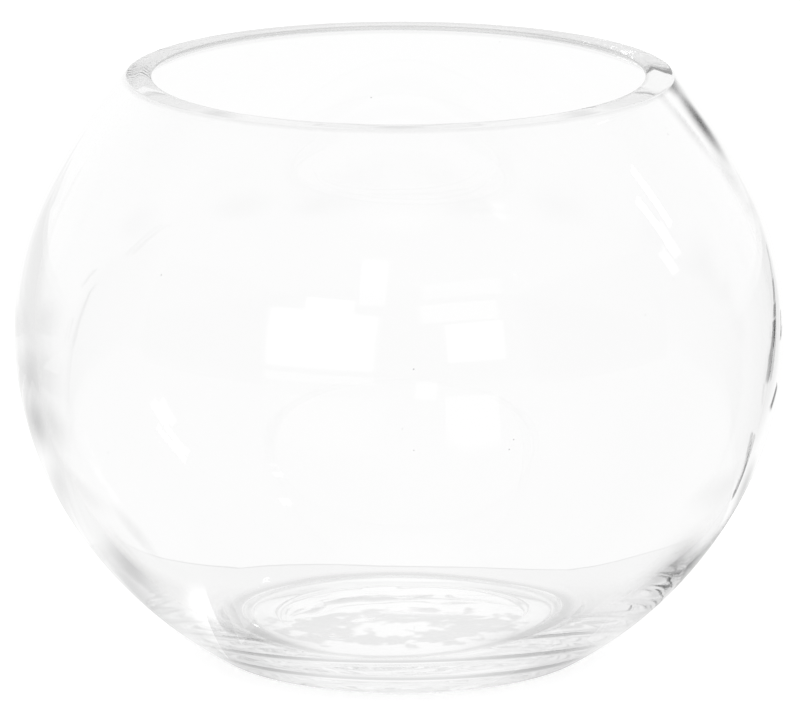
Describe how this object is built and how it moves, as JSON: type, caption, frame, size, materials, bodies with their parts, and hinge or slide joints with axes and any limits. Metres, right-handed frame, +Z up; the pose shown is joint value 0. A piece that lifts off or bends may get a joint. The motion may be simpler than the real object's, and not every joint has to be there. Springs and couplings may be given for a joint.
{
  "type": "rose bowl vase",
  "caption": "Sphere-like clear glass rose bowl with a wide fire-polished mouth and a shallow recess under its foot ring.",
  "frame": {"origin": "centre of the foot ring, on the surface that the bowl stands on", "axes": "+Z is up along the bowl's axis, through the middle of the mouth; +X and +Y are any two level directions, with -Y towards the picture's viewer"},
  "size_m": [0.2, 0.2, 0.1525],
  "materials": {
    "glass": "clear fire-polished glass"
  },
  "bodies": {
    "root": {"glass_bowl": "glass"}
  },
  "joints": []
}
